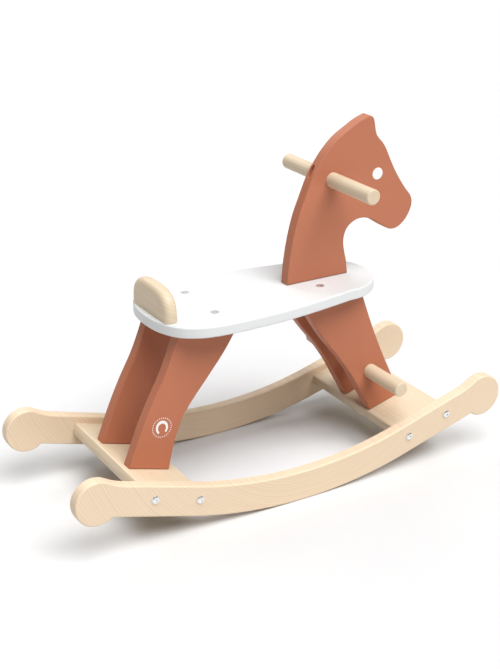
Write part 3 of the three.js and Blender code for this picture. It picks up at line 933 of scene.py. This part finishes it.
boltTree = makeBoltTree()
screwTree = makeScrewTree()
nutTree = makeNutTree()
pinTree = makePinTree()

rockerBolt = {"Head Diameter": 11 * mm, "Head Height": 2.6 * mm, "Shank Diameter": 6 * mm, "Length": 50 * mm,
              "Socket Width": 3.4 * mm, "Socket Depth": 1.0 * mm, "Sides": 48}
headGap = 0.05 * mm  # between a bolt's head and the rocker
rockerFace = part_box("rocker_left")[1].y + headGap
places = []
for node, sign in boltPlaces:
    centre = middle(node)
    places.append(((centre.x, sign * rockerFace, centre.z), (0.0, sign, 0.0)))
boltNodes = [node for node, _ in boltPlaces]
fasteners("rocker_bolts", boltTree, rockerBolt, places, brightSteel, boltNodes)

barrelNut = {"Diameter": 10 * mm, "Length": 13 * mm, "Bore": 6.6 * mm, "Slot Width": 1.4 * mm,
             "Slot Depth": 1.6 * mm, "Sides": 40}
nutNodes = sorted(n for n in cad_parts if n.startswith("barrel_nut"))
places = [(tuple(middle(n)), tuple(boardUp(n))) for n in nutNodes]
fasteners("barrel_nuts", nutTree, barrelNut, places, screwSteel, nutNodes)

woodScrew = {"Head Height": 3.4 * mm, "Shank Diameter": 5 * mm,
             "Socket Width": 3.2 * mm, "Socket Depth": 1.2 * mm, "Sides": 40}
for name, start in (
    ("seat_screws", "seat_screw"),
    ("rear_foot_screws", "rear_foot_screw"),
    ("front_foot_screws", "front_foot_screw"),
    ("backrest_screws", "backrest_screw"),
    ("head_screws", "head_screw"),
    ("foot_rest_screws", "foot_rest_screw"),
    ("handle_lock", "handle_lock_screw"),
):
    nodes, places = placesOf(start)
    sizes = {**woodScrew, "Head Diameter": headSize(nodes[0]), "Length": fixings[nodes[0]]["length"]}
    fasteners(name, screwTree, sizes, places, screwSteel, nodes)

woodPin = {"Diameter": 8 * mm, "Length": 36 * mm, "Flutes": 14.0, "Flute Depth": 0.3 * mm,
           "End Taper": 1.5 * mm, "Taper Slope": 0.7, "Sides": 56}
for name, start in (("seat_pins", "seat_pin"), ("head_pins", "head_pin")):
    nodes, places = placesOf(start)
    fasteners(name, pinTree, woodPin, places, pinWood, nodes)
print("fasteners ready")


# Prints: thin layers of white paint on the painted wood.
printLayer = {"above": 0.12 * mm, "below": 0.02 * mm}


def printed(name, loops, y, outward):
    # Each loop is an outline in the XZ plane, laid on a face that looks along -Y or +Y.
    shape = bmesh.new()
    for loop in loops:
        near = [shape.verts.new((x, y - outward * printLayer["below"], z)) for x, z in loop]
        far = [shape.verts.new((x, y + outward * printLayer["above"], z)) for x, z in loop]
        skinOver(shape, [near, far])
    keep(name, asMesh(name, shape), printWhite, [])


def ringOfPoints(x, z, radius, count=48):
    return [(x + radius * math.cos(math.tau * i / count), z + radius * math.sin(math.tau * i / count))
            for i in range(count)]


eye = {"x": 195 * mm, "z": 420 * mm, "diameter": 17.6 * mm}
headLow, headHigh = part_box("head_board")
for side, face, outward in (("left", headHigh.y, 1), ("right", headLow.y, -1)):
    printed(f"eye_{side}", [ringOfPoints(eye["x"], eye["z"], eye["diameter"] / 2)], face, outward)


shoePrint = {
    "x": -185 * mm,
    "z": 128 * mm,
    "radius": 7.4 * mm,
    "width": 3.8 * mm,
    "halfSweep": 2.5,  # radians from the toe to a heel
    "heelNarrower": 0.35,
    "heelWider": 0.10,  # how much further out the heels stand
    "taller": 1.12,
    "steps": 40,
    "dotRing": 14.2 * mm,
    "dots": 28,
    "dot": 0.75 * mm,
    "dotSides": 16,
}


def horseshoe(values):
    # A shoe standing on its open end: an arch that narrows towards the heels.
    outer, inner = [], []
    for i in range(values["steps"] + 1):
        t = -1 + 2 * i / values["steps"]
        angle = quarter + t * values["halfSweep"]
        wide = values["width"] * (1 - values["heelNarrower"] * t * t)
        middleRadius = values["radius"] * (1 + values["heelWider"] * t * t)
        ax, az = math.cos(angle), math.sin(angle) * values["taller"]
        for line, radius in ((outer, middleRadius + wide / 2), (inner, middleRadius - wide / 2)):
            line.append((values["x"] + radius * ax, values["z"] + radius * az))
    return outer + inner[::-1]


def makeShoePrint():
    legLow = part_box("rear_leg_right")[0].y
    dots = []
    for x, z in ringOfPoints(shoePrint["x"], shoePrint["z"], shoePrint["dotRing"], shoePrint["dots"]):
        dots.append(ringOfPoints(x, z, shoePrint["dot"], shoePrint["dotSides"]))
    printed("shoe_print", [horseshoe(shoePrint), *dots], legLow, -1)


makeShoePrint()
print("prints ready")


# Floor, light and camera.
paper = {"halfSize": 90.0, "light": (0.665, 0.665, 0.665), "dark": (0.65, 0.65, 0.655), "fleckScale": 60.0,
         "roughness": 0.8, "specular": 0.1}


def makeStage():
    mesh = bpy.data.meshes.new("floor")
    size = paper["halfSize"]
    corners = [(-size, -size, 0), (size, -size, 0), (size, size, 0), (-size, size, 0)]
    mesh.from_pydata(corners, [], [(0, 1, 2, 3)])
    floor = bpy.data.objects.new("floor", mesh)
    bpy.context.scene.collection.objects.link(floor)
    material, tree, shader, place = newMaterial("palePaper")
    fleck = noise(tree, place, paper["fleckScale"], 2.0)
    tree.links.new(mixColor(tree, fleck, paper["light"], paper["dark"]), shader.inputs["Base Color"])
    shader.inputs["Roughness"].default_value = paper["roughness"]
    shader.inputs["Specular IOR Level"].default_value = paper["specular"]
    mesh.materials.append(material)


lamps = {  # where each light comes from, how wide it looks in degrees, and its strength
    "overhead": {"from": (0.0, 0.0, 1.0), "width": 20, "strength": 0.27},
    "softbox": {"from": (0.0, -0.5, 1.0), "width": 50, "strength": 3.48},
    "frontSide": {"from": (0.6, -0.8, 1.2), "width": 30, "strength": 0.83},
    "behind": {"from": (0.0, 1.0, 0.9), "width": 50, "strength": 1.12},
}
worldStrength = 0.08


def makeLight():
    for name, values in lamps.items():
        data = bpy.data.lights.new(name, "SUN")
        data.angle = math.radians(values["width"])
        data.energy = values["strength"]
        lamp = bpy.data.objects.new(name, data)
        lamp.rotation_mode = "QUATERNION"
        lamp.rotation_quaternion = (-Vector(values["from"])).to_track_quat("-Z", "Y")
        bpy.context.scene.collection.objects.link(lamp)
    world = bpy.data.worlds.new("studio")
    bpy.context.scene.world = world
    world.use_nodes = True
    tree = world.node_tree
    background = tree.nodes["Background"]
    background.inputs["Color"].default_value = (1.0, 1.0, 1.0, 1.0)
    # the studio wall is seen white, and lights the horse only a little
    seen = addNode(tree, "ShaderNodeLightPath").outputs["Is Camera Ray"]
    tree.links.new(calc(tree, "MAXIMUM", seen, worldStrength), background.inputs["Strength"])
    bpy.context.scene.view_settings.view_transform = "Standard"


view = {"azimuth": -30.597, "elevation": 22.855, "roll": -0.12, "distance": 1.90006,
        "target": (-0.013849, 0.0, 0.210059), "lens": 71.28, "sensor": 36.0}


def makeCamera():
    a, e = math.radians(view["azimuth"]), math.radians(view["elevation"])
    back = Vector((math.sin(a) * math.cos(e), -math.cos(a) * math.cos(e), math.sin(e)))
    data = bpy.data.cameras.new("camera")
    data.sensor_width = view["sensor"]
    data.lens = view["lens"]
    camera = bpy.data.objects.new("camera", data)
    camera.location = Vector(view["target"]) + back * view["distance"]
    camera.rotation_mode = "QUATERNION"
    level = (-back).to_track_quat("-Z", "Y")
    camera.rotation_quaternion = level @ Quaternion((0, 0, 1), math.radians(view["roll"]))
    bpy.context.scene.collection.objects.link(camera)
    bpy.context.scene.camera = camera


makeStage()
makeLight()
makeCamera()
